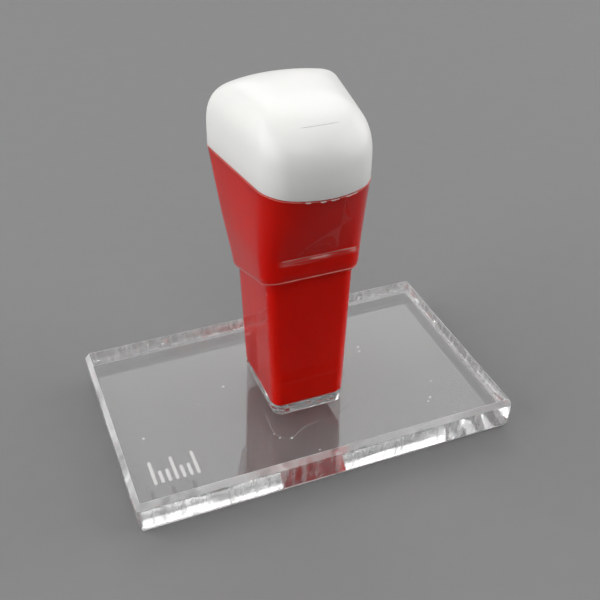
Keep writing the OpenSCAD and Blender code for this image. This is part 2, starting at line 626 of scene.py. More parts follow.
@dataclass(frozen=True)
class Plan:
    """Outline of the handle at one height, in millimetres from the handle's axis."""

    half_w: float
    side: float
    front: float
    back: float
    front_swell: float = 0.0
    back_swell: float = 0.0
    front_r: float = 1.5
    back_r: float = 1.5
    end_steps: int = 14
    corner_steps: int = 16
    side_steps: int = 6
    least_r: float = 0.5
    least_swell: float = 0.02

    def inset(self, d: float) -> Plan:
        """The same outline moved inwards.

        Args:
            d: the distance, which is negative for outwards.

        Returns:
            The moved outline.
        """
        return replace(
            self,
            half_w=self.half_w - d,
            front=self.front - d,
            back=self.back - d,
            front_r=max(self.front_r - d, self.least_r),
            back_r=max(self.back_r - d, self.least_r),
        )

    def blend(self, other: Plan, t: float) -> Plan:
        """Outline part of the way to another one.

        Args:
            other: the outline at t = 1.
            t: share of the way.

        Returns:
            The outline between.
        """
        names = ("half_w", "side", "front", "back", "front_swell", "back_swell", "front_r", "back_r")
        values = {n: getattr(self, n) + (getattr(other, n) - getattr(self, n)) * t for n in names}
        return replace(self, **values)

    def end_half(self, reach: float, swell: float, r: float) -> list[Point]:
        """Right half of one end: a wide arc from the middle, then a corner arc to the straight side.

        Args:
            reach: distance of the end from the axis.
            swell: how far the end's middle stands beyond its sides.
            r: corner radius.

        Returns:
            Points from the middle to the side.
        """
        s = max(swell, self.least_swell)
        arc_r = (self.half_w**2 + s * s) / (2 * s)
        arc_y = reach - arc_r
        corner_y = arc_y + math.sqrt((arc_r - r) ** 2 - (self.half_w - r) ** 2)
        turn = math.atan2(self.half_w - r, corner_y - arc_y)
        steps = [turn * i / self.end_steps for i in range(self.end_steps + 1)]
        arc = [(arc_r * math.sin(a), arc_y + arc_r * math.cos(a)) for a in steps]
        count = self.corner_steps
        bends = [turn + (math.pi / 2 - turn) * i / count for i in range(1, count + 1)]
        return arc + [(self.half_w - r + r * math.sin(a), corner_y + r * math.cos(a)) for a in bends]

    def outline(self) -> list[Point]:
        """Whole outline, anticlockwise from the middle of the front.

        Returns:
            Points of the closed outline.
        """
        front = [(x, -y) for x, y in self.end_half(self.front, self.front_swell, self.front_r)]
        back = self.end_half(self.back, self.back_swell, self.back_r)
        y0, y1 = front[-1][1], back[-1][1]
        side = [(self.half_w, y0 + (y1 - y0) * i / self.side_steps) for i in range(1, self.side_steps)]
        right = front + side + back[::-1]
        left = [(-x, y) for x, y in right[-2:0:-1]]
        return [(x * (1 + self.side * y / self.half_w), y) for x, y in right + left]

    def reach(self, angle: float) -> float:
        """Distance from the axis to the outline along a direction.

        Args:
            angle: direction in radians, from +X towards +Y.

        Returns:
            The distance in millimetres.
        """
        points = self.outline()
        ux, uy = math.cos(angle), math.sin(angle)
        for (ax, ay), (bx, by) in zip(points, points[1:] + points[:1]):
            side_a, side_b = ux * ay - uy * ax, ux * by - uy * bx
            if side_a <= 0 < side_b or side_b <= 0 < side_a:
                t = side_a / (side_a - side_b)
                along = ux * (ax + (bx - ax) * t) + uy * (ay + (by - ay) * t)
                if along > 0:
                    return along
        return self.half_w


@dataclass
class Handle:
    """Sizes of the handle, shared by its clear shell, its red core and the cap, in millimetres."""

    plate_t: float = 5.4
    axis_x: float = -0.4
    axis_y: float = -0.9
    bond_t: float = 0.1
    bond_inset: float = 0.35
    foot_w: float = 11.1
    foot_edge: float = 0.15
    stem_w: float = 12.6
    stem_d: float = 13.8
    stem_r: float = 1.5
    stem_h: float = 21.0
    shoulder_a: float = 20.0
    shoulder_step: float = 0.85
    shoulder_rise: float = 1.7
    band_h: float = 2.3
    grip_h: float = 10.4
    waist_out: float = 0.65
    waist_side_a: float = 4.5
    crease_soft: float = 0.3
    grip_side_out: float = 0.8
    grip_front_out: float = 4.05
    grip_back_out: float = 2.55
    grip_side_a: float = 8.5
    grip_front_bulge: float = 2.6
    grip_back_bulge: float = 2.8
    grip_front_r: float = 4.6
    grip_back_r: float = 2.6
    shell_floor: float = 1.4
    core_in: float = 0.65
    core_wall: float = 1.2
    core_floor: float = 1.2
    seam_bevel: float = 0.15
    stem_steps: int = 8
    shoulder_steps: int = 12
    band_shares: Spot = (0.25, 0.5, 0.75)
    grip_steps: int = 14

    def __post_init__(self) -> None:
        """Work out the levels and the four governing outlines."""
        self.slope = -slope_of(self.shoulder_a)
        self.foot_z = self.plate_t + self.bond_t
        self.stem_z = self.foot_z + self.stem_h
        reach = self.stem_d / 2 + self.shoulder_step
        self.waist_z = self.stem_z + self.shoulder_rise - self.slope * reach + self.band_h
        self.seam_z = self.waist_z + self.grip_h
        half_d, r = self.stem_d / 2, self.stem_r
        self.foot_plan = Plan(self.foot_w / 2, 0.0, half_d, half_d, 0.0, 0.0, r, r)
        self.stem_plan = replace(self.foot_plan, half_w=self.stem_w / 2)
        waist_r = r + self.shoulder_step
        waist_half = self.stem_w / 2 + self.shoulder_step + self.waist_out
        waist_back = reach + self.waist_out
        waist_lean = slope_of(self.waist_side_a)
        self.waist_plan = Plan(waist_half, waist_lean, reach, waist_back, 0.0, 0.0, waist_r, waist_r)
        self.grip_plan = Plan(
            waist_half + self.grip_side_out,
            slope_of(self.grip_side_a),
            reach + self.grip_front_out,
            waist_back + self.grip_back_out,
            self.grip_front_bulge,
            self.grip_back_bulge,
            self.grip_front_r,
            self.grip_back_r,
        )

    def ring(self, plan: Plan, z: float, slope: float = 0.0) -> list[Spot]:
        """Outline at one height in the row frame, on a plane that may slope along Y."""
        return [(x + self.axis_x, y + self.axis_y, z + slope * y) for x, y in plan.outline()]

    def stem_ring(self, t: float, d: float) -> list[Spot]:
        """Ring of the stem at a share of its height, from the level foot to the sloping shoulder line."""
        plan = self.foot_plan.blend(self.stem_plan, t).inset(d)
        return self.ring(plan, self.foot_z + self.stem_h * t, self.slope * t)

    def shoulder_ring(self, turn: float, d: float) -> list[Spot]:
        """Ring of the rounded shoulder at an angle of its quarter turn, in radians."""
        plan = self.stem_plan.inset(d - self.shoulder_step * math.sin(turn))
        return self.ring(plan, self.stem_z + self.shoulder_rise * (1 - math.cos(turn)), self.slope)

    def grip_at(self, h: float) -> Plan:
        """Outline of the grip at a height above the crease."""
        return self.waist_plan.blend(self.grip_plan, h / self.grip_h)

    def upper_rings(self, d: float) -> list[list[Spot]]:
        """Rings from the shoulder line up to just below the seam, at one inset.

        Args:
            d: distance inside the handle's outer face.

        Returns:
            Rings in rising order.
        """
        turns = [math.pi / 2 * i / self.shoulder_steps for i in range(self.shoulder_steps + 1)]
        rings = [self.shoulder_ring(turn, d) for turn in turns]
        top_z = self.stem_z + self.shoulder_rise
        top = self.stem_plan.inset(-self.shoulder_step)
        span = self.waist_z - top_z
        for t in (*self.band_shares, 1 - self.crease_soft / span):
            plan = top.blend(self.waist_plan, t).inset(d)
            rings.append(self.ring(plan, top_z + span * t, self.slope * (1 - t)))
        steps = self.grip_steps
        heights = [self.crease_soft] + [self.grip_h * i / steps for i in range(1, steps)]
        rings += [self.ring(self.grip_at(h).inset(d), self.waist_z + h) for h in heights]
        return rings

    def stem_rings(self, d: float, start: float) -> list[list[Spot]]:
        """Rings of the stem at one inset, from a height above the foot up to the shoulder line."""
        low, steps = start / self.stem_h, self.stem_steps
        return [self.stem_ring(low + (1 - low) * i / steps, d) for i in range(steps)]


@dataclass
class Plate:
    """The clear plate with polished edges, cemented to the handle's foot."""

    handle: Handle
    finish: ClearFinish = ClearFinish("clear_plate", dust=0.1, smear=0.03)
    edges: EdgeFinish = EdgeFinish("buffed_edge", rough=0.06, milk=0.32)
    width: float = 58.5
    depth: float = 35.0
    thick: float = 5.4
    arris: float = 0.6
    top_arris_h: float = 0.85
    crown: float = 0.028
    crown_z: float = 3.95
    crown_drift: float = -0.022
    side_steps: int = 12
    corner_r: float = 0.8
    corner_steps: int = 8
    edge: float = 0.07
    wobble: float = 0.03
    side_wobble: float = 0.35
    wave_scale: float = 0.16
    wave_start: float = 7.0
    pitch: float = 0.7

    def rim(self) -> list[tuple[Point, Point]]:
        """Points round the plate's side with their outward directions.

        Returns:
            Pairs of point and direction, anticlockwise.
        """
        half_x, half_y, r = self.width / 2, self.depth / 2, self.corner_r
        found: list[tuple[Point, Point]] = []
        corners = [(1, -1, -90), (1, 1, 0), (-1, 1, 90), (-1, -1, 180)]
        for k, (sx, sy, start) in enumerate(corners):
            cx, cy = sx * (half_x - r), sy * (half_y - r)
            for i in range(self.corner_steps + 1):
                a = math.radians(start + 90 * i / self.corner_steps)
                n = (math.cos(a), math.sin(a))
                found.append(((cx + r * n[0], cy + r * n[1]), n))
            nx, ny, _ = corners[(k + 1) % 4]
            (ax, ay), n = found[-1]
            bx, by = nx * (half_x - r) + n[0] * r, ny * (half_y - r) + n[1] * r
            steps = int(math.hypot(bx - ax, by - ay) / self.pitch)
            found += [((ax + (bx - ax) * i / steps, ay + (by - ay) * i / steps), n) for i in range(1, steps)]
        return found

    def bend(self, before: Point, at: Point, after: Point) -> list[Spot]:
        """Rows that round one bend of the section and keep the faces beside it flat.

        Args:
            before: a point of the section before the bend.
            at: the bend.
            after: a point of the section after the bend.

        Returns:
            Rows of inset, height and share of the waviness.
        """
        b = Vector(at)
        u = (Vector(before) - b).normalized() * self.edge
        v = (Vector(after) - b).normalized() * self.edge
        return [(*p, 1.0) for p in (b + u * 1.5, b + u, b + (u + v) * 0.25, b + v, b + v * 1.5)]

    def profile(self, x: float) -> list[Spot]:
        """Section of the edge from the underside to the top.

        Args:
            x: where along the plate the section is taken.

        Returns:
            Rows of inset, height and share of the hand-polished waviness.
        """
        a, t = self.arris, self.thick
        low, high = a, t - self.top_arris_h
        heights = [low + (high - low) * i / self.side_steps for i in range(self.side_steps + 1)]
        peak = self.crown_z + self.crown_drift * x
        side = [(self.crown * (z - peak) ** 2, z) for z in heights]
        return [
            *self.bend((2 * a, 0.0), (a, 0.0), side[0]),
            *self.bend((a, 0.0), side[0], side[1]),
            *[(d, z, self.side_wobble) for d, z in side[1:-1]],
            *self.bend(side[-2], side[-1], (a, t)),
            *self.bend(side[-1], (a, t), (2 * a, t)),
        ]

    def build(self) -> Object:
        """Make the plate, open under the foot, where the cement joins the two clear pieces.

        Returns:
            The plate's object.
        """
        rim = self.rim()
        mesh = bmesh.new()
        columns = []
        for (x, y), (nx, ny) in rim:
            column = []
            for d, z, share in self.profile(x):
                spot = Vector((x * self.wave_scale, y * self.wave_scale, self.wave_start + z))
                wave = noise.noise(spot)
                inward = d + self.wobble * share * (0.5 + 0.5 * wave)
                column.append((x - nx * inward, y - ny * inward, z))
            columns.append(column)
        rings = list(zip(*columns))
        film = self.handle.foot_plan.inset(self.handle.bond_inset)
        hole = []
        for x, y, z in rings[-1]:
            a = math.atan2(y - self.handle.axis_y, x - self.handle.axis_x)
            d = film.reach(a)
            hole.append((self.handle.axis_x + d * math.cos(a), self.handle.axis_y + d * math.sin(a), z))
        bands = join_rings(mesh, [*rings, hole], True, False)
        number_faces(bands[:-1], 1)
        made = settle(mesh, "plate_body", [self.finish.make(), self.edges.make()], sharp=20.0)
        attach(made, Body.MOUNT.value)
        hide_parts("base_plate")
        return made


@dataclass
class RuledMark:
    """A small frosted rule of plain ticks on the plate's top, near the front left corner."""

    z: float
    finish: FrostFinish = FrostFinish("frosted_rule", clear=0.35)
    left: float = -25.6
    right: float = -19.5
    low: float = -14.8
    ticks: int = 7
    long_every: int = 3
    long: float = 4.7
    short: float = 2.6
    foot: float = 0.7
    stroke: float = 0.5
    height: float = 0.03
    lift: float = 0.004
    draft: float = 0.3
    end_steps: int = 10

    def stroke_at(self, mesh: BMesh, start: Point, end: Point) -> None:
        """Add one round-ended stroke.

        Args:
            mesh: working mesh.
            start: middle of its first end.
            end: middle of its second end.
        """
        way = (Vector(end) - Vector(start)).normalized()
        turn = math.atan2(way.y, way.x)
        half, count = self.stroke / 2, self.end_steps + 1
        arc = [math.pi / 2 + math.pi * i / self.end_steps for i in range(count)]
        line = [(start[0] + half * math.cos(turn + a), start[1] + half * math.sin(turn + a)) for a in arc]
        line += [(end[0] - half * math.cos(turn + a), end[1] - half * math.sin(turn + a)) for a in arc]
        middles = [start] * count + [end] * count
        inner = [
            (x + (u - x) * self.draft, y + (v - y) * self.draft) for (x, y), (u, v) in zip(line, middles)
        ]
        foot = [(x, y, self.z + self.lift) for x, y in line]
        crest = [(x, y, self.z + self.height) for x, y in inner]
        join_rings(mesh, [foot, crest], True, True)

    def build(self) -> Object:
        """Make the rule.

        Returns:
            The rule's object.
        """
        mesh = bmesh.new()
        gap = (self.right - self.left) / (self.ticks - 1)
        for i in range(self.ticks):
            x = self.left + gap * i
            reach = self.short if i % self.long_every else self.long
            self.stroke_at(mesh, (x, self.low + self.foot), (x, self.low + reach))
        made = settle(mesh, "plate_rule", [self.finish.make()])
        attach(made, Body.MOUNT.value)
        return made


@dataclass
class CementJoint:
    """Cured cement under the foot: its film, the bubbles in it and the dried edge on the plate."""

    handle: Handle
    clear: ClearFinish
    dried: FrostFinish = FrostFinish("dried_cement", (0.8, 0.81, 0.79, 1.0), 0.5, 0.72)
    film_waist: float = 0.04
    bubbles: int = 26
    bubble_seed: int = 11
    bubble_r: Point = (0.16, 0.42)
    bubble_lift: Point = (0.05, 0.35)
    bubble_rows: tuple[float, ...] = (0.62, 0.72, 0.8, 0.86, -0.5, -0.8, 0.3)
    bubble_spread: float = 0.82
    bubble_flat: float = 0.28
    bubble_lump: float = 0.28
    ridge_half_w: float = 0.07
    ridge_h: float = 0.035
    ridge_lift: float = 0.003
    ridge_steps: int = 8
    ridge_stray: float = 0.12
    creep: tuple[Point, ...] = (
        (-7.0, -6.4), (-7.1, -8.4), (-7.3, -10.1), (-6.6, -11.8), (-5.2, -12.6), (-3.9, -11.9), (-2.6, -11.2),
        (-1.4, -10.9), (0.6, -10.9), (2.4, -10.5), (4.2, -9.9), (5.6, -8.7), (6.1, -7.2),
    )

    def film(self) -> Object:
        """Make the film's edge, which joins the plate's top to the foot.

        Returns:
            The film's object.
        """
        h = self.handle
        mesh = bmesh.new()
        plan = h.foot_plan.inset(h.bond_inset)
        waist = plan.inset(self.film_waist)
        rings = [h.ring(plan, h.plate_t), h.ring(waist, h.plate_t + h.bond_t / 2), h.ring(plan, h.foot_z)]
        join_rings(mesh, rings, False, False)
        made = settle(mesh, "cement_edge", [self.clear.make()])
        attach(made, Body.MOUNT.value)
        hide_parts("cement_film")
        return made

    def voids(self) -> Object:
        """Make the flattened bubbles caught in the cement.

        Returns:
            The bubbles' object.
        """
        h = self.handle
        dice = random.Random(self.bubble_seed)
        mesh = bmesh.new()
        for _ in range(self.bubbles):
            x = dice.uniform(-self.bubble_spread, self.bubble_spread) * h.foot_w / 2
            y = -h.stem_d / 2 * dice.choice(self.bubble_rows)
            r = dice.uniform(*self.bubble_r)
            z = h.plate_t + dice.uniform(*self.bubble_lift) + 0.3 * r
            made = bmesh.ops.create_icosphere(mesh, subdivisions=3, radius=1.0)
            size = Vector((r * dice.uniform(1.0, 2.2), r * dice.uniform(0.6, 1.0), self.bubble_flat * r))
            spin = Matrix.Rotation(dice.uniform(-0.5, 0.5), 3, "Z")
            for v in made["verts"]:
                lump = 1.0 + self.bubble_lump * noise.noise(v.co * 1.7 + Vector((x, y, r * 9)))
                p = spin @ Vector((v.co.x * size.x, v.co.y * size.y, v.co.z * size.z)) * lump
                v.co = p + Vector((h.axis_x + x, h.axis_y + y, z))
        bmesh.ops.reverse_faces(mesh, faces=mesh.faces)
        made = settle(mesh, "cement_bubbles", [self.clear.make()], sharp=180.0)
        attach(made, Body.MOUNT.value)
        return made

    def creep_line(self) -> list[Vector]:
        """Smooth line through the marks of the creep, with a little stray.

        Returns:
            Points of the line.
        """
        marks = [Vector(p) for p in self.creep]
        line = []
        for k, (a, b) in enumerate(zip(marks, marks[1:])):
            before, after = marks[max(k - 1, 0)], marks[min(k + 2, len(marks) - 1)]
            for i in range(self.ridge_steps):
                t = i / self.ridge_steps
                bend = (b - before) * 0.5 * (t - 2 * t**2 + t**3) + (after - a) * 0.5 * (t**3 - t**2)
                p = a * (1 - 3 * t**2 + 2 * t**3) + b * (3 * t**2 - 2 * t**3) + bend
                stray = Vector((noise.noise((p.x, p.y, 3.0)), noise.noise((p.x, p.y, 9.0))))
                line.append(p + stray * self.ridge_stray)
        return line

    def dried_edge(self) -> Object:
        """Make the dried edge of the cement that crept out in front of the foot.

        Returns:
            The edge's object.
        """
        line = self.creep_line()
        low, high = self.handle.plate_t + self.ridge_lift, self.handle.plate_t + self.ridge_h
        mesh = bmesh.new()
        rows = []
        for i, p in enumerate(line):
            way = (line[min(i + 1, len(line) - 1)] - line[max(i - 1, 0)]).normalized()
            share = 0.7 + 0.5 * noise.noise((p.x * 2, p.y * 2, 1.0))
            n = Vector((-way.y, way.x)) * self.ridge_half_w * share
            spots = ((*(p + n), low), (*p, high), (*(p - n), low))
            rows.append([mesh.verts.new(spot) for spot in spots])
        bridge(mesh, rows, False)
        made = settle(mesh, "cement_creep", [self.dried.make()], sharp=180.0)
        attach(made, Body.MOUNT.value)
        return made

    def build(self) -> list[Object]:
        """Make all three pieces of the joint."""
        return [self.film(), self.voids(), self.dried_edge()]


@dataclass
class Shell:
    """The handle's clear skin, closed on the red core at its rim and on the cement at its foot."""

    handle: Handle
    finish: ClearFinish = ClearFinish("clear_shell", haze=0.04, shine=(0.3, 0.12, 0.1, 1.0))
    foot: CutFinish = CutFinish(
        "moulded_foot", rough=0.008, milk=0.01, relief=0.00003, streaks=(150.0, 150.0, 1500.0)
    )
    foot_h: float = 1.5
    foot_bands: int = 4

    def build(self) -> Object:
        """Make the skin.

        Returns:
            The skin's object.
        """
        h = self.handle
        seam = h.seam_bevel
        mesh = bmesh.new()
        rings = [
            h.ring(h.foot_plan.inset(h.bond_inset), h.foot_z),
            h.ring(h.foot_plan.inset(h.foot_edge), h.foot_z),
            h.ring(h.foot_plan.inset(h.foot_edge * 0.3), h.foot_z + h.foot_edge * 0.3),
            h.stem_ring(h.foot_edge / h.stem_h, 0.0),
            *h.stem_rings(0.0, self.foot_h),
            *h.upper_rings(0.0),
            h.ring(h.grip_at(h.grip_h - seam), h.seam_z - seam),
            h.ring(h.grip_plan.inset(seam), h.seam_z),
            h.ring(h.grip_plan.inset(h.core_in), h.seam_z),
        ]
        bands = join_rings(mesh, rings, False, False)
        number_faces(bands[: self.foot_bands], 1)
        made = settle(mesh, "handle_skin", [self.finish.make(), self.foot.make()], sharp=40.0)
        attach(made, Body.MOUNT.value)
        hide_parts("handle_shell")
        return made


@dataclass
class Core:
    """The red cup inside the skin."""

    handle: Handle
    finish: RedFinish = RedFinish()
    foot_bevel: float = 0.25
    foot_clear: float = 1.0

    def build(self) -> Object:
        """Make the cup.

        Returns:
            The cup's object.
        """
        h = self.handle
        hollow = h.core_in + h.core_wall
        mesh = bmesh.new()
        floor = h.foot_z + h.shell_floor
        outer_foot = h.foot_plan.blend(h.stem_plan, h.shell_floor / h.stem_h)
        inner_h = h.shell_floor + h.core_floor
        inner_foot = h.foot_plan.blend(h.stem_plan, inner_h / h.stem_h)
        outer = [
            h.ring(outer_foot.inset(h.core_in + self.foot_bevel), floor),
            h.ring(outer_foot.inset(h.core_in), floor + self.foot_bevel),
            *h.stem_rings(h.core_in, h.shell_floor + self.foot_clear),
            *h.upper_rings(h.core_in),
            h.ring(h.grip_plan.inset(h.core_in), h.seam_z),
        ]
        inner = [
            h.ring(inner_foot.inset(hollow), h.foot_z + inner_h),
            *h.stem_rings(hollow, inner_h + self.foot_clear),
            *h.upper_rings(hollow),
            h.ring(h.grip_plan.inset(hollow), h.seam_z),
        ]
        join_rings(mesh, outer + inner[::-1], True, True)
        made = settle(mesh, "red_cup", [self.finish.make()], sharp=40.0)
        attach(made, Body.MOUNT.value)
        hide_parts("colour_core")
        return made


@dataclass
class Cap:
    """The white domed cap with the plug that goes into the core's mouth."""

    handle: Handle
    finish: WhiteFinish = WhiteFinish()
    side_h: float = 2.5
    dome_h: float = 7.0
    rise_power: float = 2.7
    side_power: float = 4.2
    front_power: float = 2.7
    peak_y: float = 0.9
    flat: float = 0.06
    dome_steps: int = 40
    wall: float = 1.4
    plug_depth: float = 4.0
    plug_in: float = 2.05
    plug_wall: float = 1.0
    plug_web: float = 1.2
    plug_lead: float = 0.4

    def dome_ring(self, a: float, wall: float) -> list[Spot]:
        """One ring of the dome, which draws in sooner towards the front.

        Args:
            a: angle up the dome, in radians.
            wall: distance inside the outer face.

        Returns:
            The ring.
        """
        h = self.handle
        plan = h.grip_plan.inset(wall)
        side = math.cos(a) ** (2 / self.side_power)
        front = math.cos(a) ** (2 / self.front_power)
        z = h.seam_z + self.side_h + (self.dome_h - wall) * math.sin(a) ** (2 / self.rise_power)
        ring = []
        for x, y in plan.outline():
            t = max(self.peak_y - y, 0.0) / (self.peak_y + plan.front)
            draw = side + (front - side) * t * t * (3 - 2 * t)
            ring.append((h.axis_x + x * side, h.axis_y + self.peak_y + (y - self.peak_y) * draw, z))
        return ring

    def dome(self, wall: float) -> list[list[Spot]]:
        """Rings from the upright side to the small flat on top, set inwards by a wall.

        Args:
            wall: distance inside the outer face.

        Returns:
            Rings in rising order.
        """
        end = math.acos(self.flat ** (self.side_power / 2))
        return [self.dome_ring(end * i / self.dome_steps, wall) for i in range(self.dome_steps + 1)]

    def plug_ring(self, d: float, depth: float) -> list[Spot]:
        """Ring of the plug at a depth below the seam."""
        h = self.handle
        return h.ring(h.grip_at(h.grip_h - depth).inset(d), h.seam_z - depth)

    def build(self) -> Object:
        """Make the cap.

        Returns:
            The cap's object.
        """
        h = self.handle
        bore = self.plug_in + self.plug_wall
        mesh = bmesh.new()
        rings = [
            *self.dome(self.wall)[::-1],
            h.ring(h.grip_plan.inset(self.wall), h.seam_z + self.plug_web),
            h.ring(h.grip_plan.inset(bore), h.seam_z + self.plug_web),
            self.plug_ring(bore, 0.0),
            self.plug_ring(bore, self.plug_depth),
            self.plug_ring(self.plug_in + self.plug_lead, self.plug_depth),
            self.plug_ring(self.plug_in, self.plug_depth - self.plug_lead),
            self.plug_ring(self.plug_in, 0.0),
            h.ring(h.grip_plan.inset(h.seam_bevel), h.seam_z),
            h.ring(h.grip_plan.inset(0.3 * h.seam_bevel), h.seam_z + 0.3 * h.seam_bevel),
            h.ring(h.grip_plan, h.seam_z + h.seam_bevel),
            *self.dome(0.0),
        ]
        join_rings(mesh, rings, True, True)
        made = settle(mesh, "cap_dome", [self.finish.make()], sharp=50.0)
        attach(made, Body.CAP.value)
        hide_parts("cap")
        return made


@dataclass
class SkinMarks:
    """Fine marks on the handle's skin: painted highlight lines at seam and shoulder, flash and a painted
    highlight on the finger band.
    """

    handle: Handle
    # Pale pink beads that paint highlights along the shell's rim edge and the shoulder's rounded lower edge.
    pale: FrostFinish = FrostFinish("painted_highlight_line", (0.98, 0.3, 0.25, 1.0), 0.6, 0.15)
    flash: FrostFinish = FrostFinish("pale_flash", (0.95, 0.78, 0.74, 1.0), 0.4, 0.15)
    sliver_starts: tuple[float, ...] = (-3.1, -1.3, 0.1, 0.9, 2.2, 3.1)
    sliver_seed: int = 5
    sliver_len: Point = (0.25, 0.9)
    sliver_h: Point = (0.06, 0.16)
    sliver_t: float = 0.04
    sliver_root: float = 0.25
    sliver_steps: int = 8
    bead_sides: int = 6
    # Bead radii of the painted highlight lines, at the sides and at the front.
    lip_r: Point = (0.045, 0.045)
    shoulder_r: Point = (0.015, 0.1)
    shoulder_turn: float = 0.8
    # Place and size of the film that carries the painted highlight under the crease.
    highlight_x: Point = (-5.4, 6.2)
    highlight_h: float = 1.25
    highlight_drop: float = 0.02
    highlight_lift: float = 0.012
    highlight_wave: float = 0.004
    highlight_steps: tuple[int, int] = (60, 12)

    def bead(self, mesh: BMesh, ring: Sequence[Spot], side_r: float, front_r: float) -> None:
        """Add a thin bead along a closed ring.

        Args:
            mesh: working mesh.
            ring: points of the ring.
            side_r: radius of the bead at the sides and the back.
            front_r: radius of the bead at the front.
        """
        count = len(ring)
        mid = Vector((self.handle.axis_x, self.handle.axis_y))
        turns = [math.tau * k / self.bead_sides for k in range(self.bead_sides)]
        rows = []
        for i, (x, y, z) in enumerate(ring):
            a, b = Vector(ring[i - 1]), Vector(ring[(i + 1) % count])
            out = Vector((b.y - a.y, a.x - b.x)).normalized()
            if out.dot(Vector((x, y)) - mid) < 0:
                out.negate()
            r = side_r + (front_r - side_r) * max(-out.y, 0.0) ** 2
            r *= 0.75 + 0.5 * noise.noise((x * 0.9, y * 0.9, z))
            spots = [(r * math.cos(turn), r * math.sin(turn)) for turn in turns]
            rows.append([mesh.verts.new((x + out.x * u, y + out.y * u, z + v)) for u, v in spots])
        bridge(mesh, [*rows, rows[0]][::-1], True)

    def lines(self) -> Object:
        """Make the two painted highlight lines: pale beads along the shell's rim edge and along the
        shoulder's rounded lower edge.

        Returns:
            The lines' object.
        """
        h = self.handle
        mesh = bmesh.new()
        lip = h.seam_bevel * 0.8
        self.bead(mesh, h.ring(h.grip_at(h.grip_h - lip), h.seam_z - lip), *self.lip_r)
        self.bead(mesh, h.shoulder_ring(self.shoulder_turn, 0.0), *self.shoulder_r)
        made = settle(mesh, "painted_highlight_lines", [self.pale.make()], sharp=80.0)
        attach(made, Body.MOUNT.value)
        return made

    def slivers(self) -> Object:
        """Make the slivers of flash at the front of the lip.

        Returns:
            The slivers' object.
        """
        h = self.handle
        dice = random.Random(self.sliver_seed)
        front = [p for p in h.grip_plan.outline() if p[1] < 0]
        front.sort(key=lambda p: p[0])
        z = h.seam_z - h.seam_bevel
        mesh = bmesh.new()
        for x in self.sliver_starts:
            length, tall = dice.uniform(*self.sliver_len), dice.uniform(*self.sliver_h)
            rings = []
            for i in range(self.sliver_steps + 1):
                t = i / self.sliver_steps
                px = x + length * t
                k = next((j for j in range(1, len(front)) if front[j][0] >= px), len(front) - 1)
                (ax, ay), (bx, by) = front[k - 1], front[k]
                p = Vector((px, ay + (by - ay) * (px - ax) / max(bx - ax, 1e-6)))
                n = Vector((by - ay, ax - bx)).normalized()
                drop = tall * math.sin(math.pi * t) ** 0.5 * (0.7 + 0.6 * abs(noise.noise((px * 5, 0.0, x))))
                corners = (
                    (p - n * self.sliver_root, z),
                    (p + n * (self.sliver_t - 0.38 * drop), z - drop - 0.02),
                    (p + n * 0.4 * self.sliver_t, z + 0.03),
                )
                rings.append([(q.x + h.axis_x, q.y + h.axis_y, height) for q, height in corners])
            join_rings(mesh, rings, True, True)
        bmesh.ops.recalc_face_normals(mesh, faces=mesh.faces)
        made = settle(mesh, "seam_flash", [self.flash.make()], sharp=60.0)
        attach(made, Body.MOUNT.value)
        return made

    def highlight_film(self) -> Object:
        """Make the thin film that paints a highlight on the upright finger band.

        Returns:
            The film's object.
        """
        h = self.handle
        mesh = bmesh.new()
        start, end = self.highlight_x
        across, down = self.highlight_steps
        rows = []
        for j in range(down + 1):
            z = h.waist_z - self.highlight_drop - self.highlight_h * j / down
            row = []
            for i in range(across + 1):
                x = start + (end - start) * i / across
                y = -h.waist_plan.front - self.highlight_lift - self.highlight_wave * noise.noise((x, z, 2.0))
                row.append(mesh.verts.new((x + h.axis_x, y + h.axis_y, z)))
            rows.append(row)
        bridge(mesh, rows[::-1], False)
        finish = BandHighlightFinish(h.waist_z, self.highlight_h, (start + h.axis_x, end + h.axis_x))
        made = settle(mesh, "band_highlight", [finish.make()], sharp=180.0)
        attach(made, Body.MOUNT.value)
        return made

    def build(self) -> list[Object]:
        """Make all the marks."""
        return [self.lines(), self.slivers(), self.highlight_film()]


@dataclass
class Crumbs:
    """Specks of dried cement and dust lying on the plate."""

    handle: Handle
    finish: FrostFinish = FrostFinish("pale_crumbs", (0.85, 0.86, 0.85, 1.0), 0.5, 0.1)
    placed: tuple[Spot, ...] = (
        (-7.3, -10.98, 0.13), (-6.8, -12.05, 0.16), (-5.2, -12.7, 0.2), (12.5, 2.85, 0.26),
        (12.2, 1.7, 0.28), (-11.0, 1.4, 0.28), (-2.35, -16.3, 0.16), (19.5, -8.9, 0.24), (17.6, -12.2, 0.26),
        (16.9, -12.9, 0.2), (-15.8, -1.1, 0.22), (-25.1, -5.1, 0.24), (5.9, -8.1, 0.16), (6.2, -7.2, 0.12),
    )
    strewn: int = 26
    strewn_r: Point = (0.03, 0.08)
    strewn_half: Point = (27.5, 16.0)
    clear_half: Point = (7.5, 8.5)
    seed: int = 3
    long: float = 1.2
    flat: float = 0.2
    lift: float = 0.18

    def build(self) -> Object:
        """Make the specks.

        Returns:
            The specks' object.
        """
        h = self.handle
        dice = random.Random(self.seed)
        half_x, half_y = self.strewn_half
        clear_x, clear_y = self.clear_half
        spots = list(self.placed)
        while len(spots) < len(self.placed) + self.strewn:
            x, y = dice.uniform(-half_x, half_x), dice.uniform(-half_y, half_y)
            if abs(x - h.axis_x) > clear_x or abs(y - h.axis_y) > clear_y:
                spots.append((x, y, dice.uniform(*self.strewn_r)))
        mesh = bmesh.new()
        for x, y, r in spots:
            made = bmesh.ops.create_icosphere(mesh, subdivisions=2, radius=1.0)
            for v in made["verts"]:
                lump = r * (0.75 + 0.5 * noise.noise(v.co * 1.6 + Vector((x, y, 0.0))))
                z = h.plate_t + (v.co.z * self.flat + self.lift) * lump
                v.co = Vector((x + v.co.x * lump * self.long, y + v.co.y * lump, z))
        made = settle(mesh, "plate_crumbs", [self.finish.make()], sharp=60.0)
        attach(made, Body.MOUNT.value)
        return made


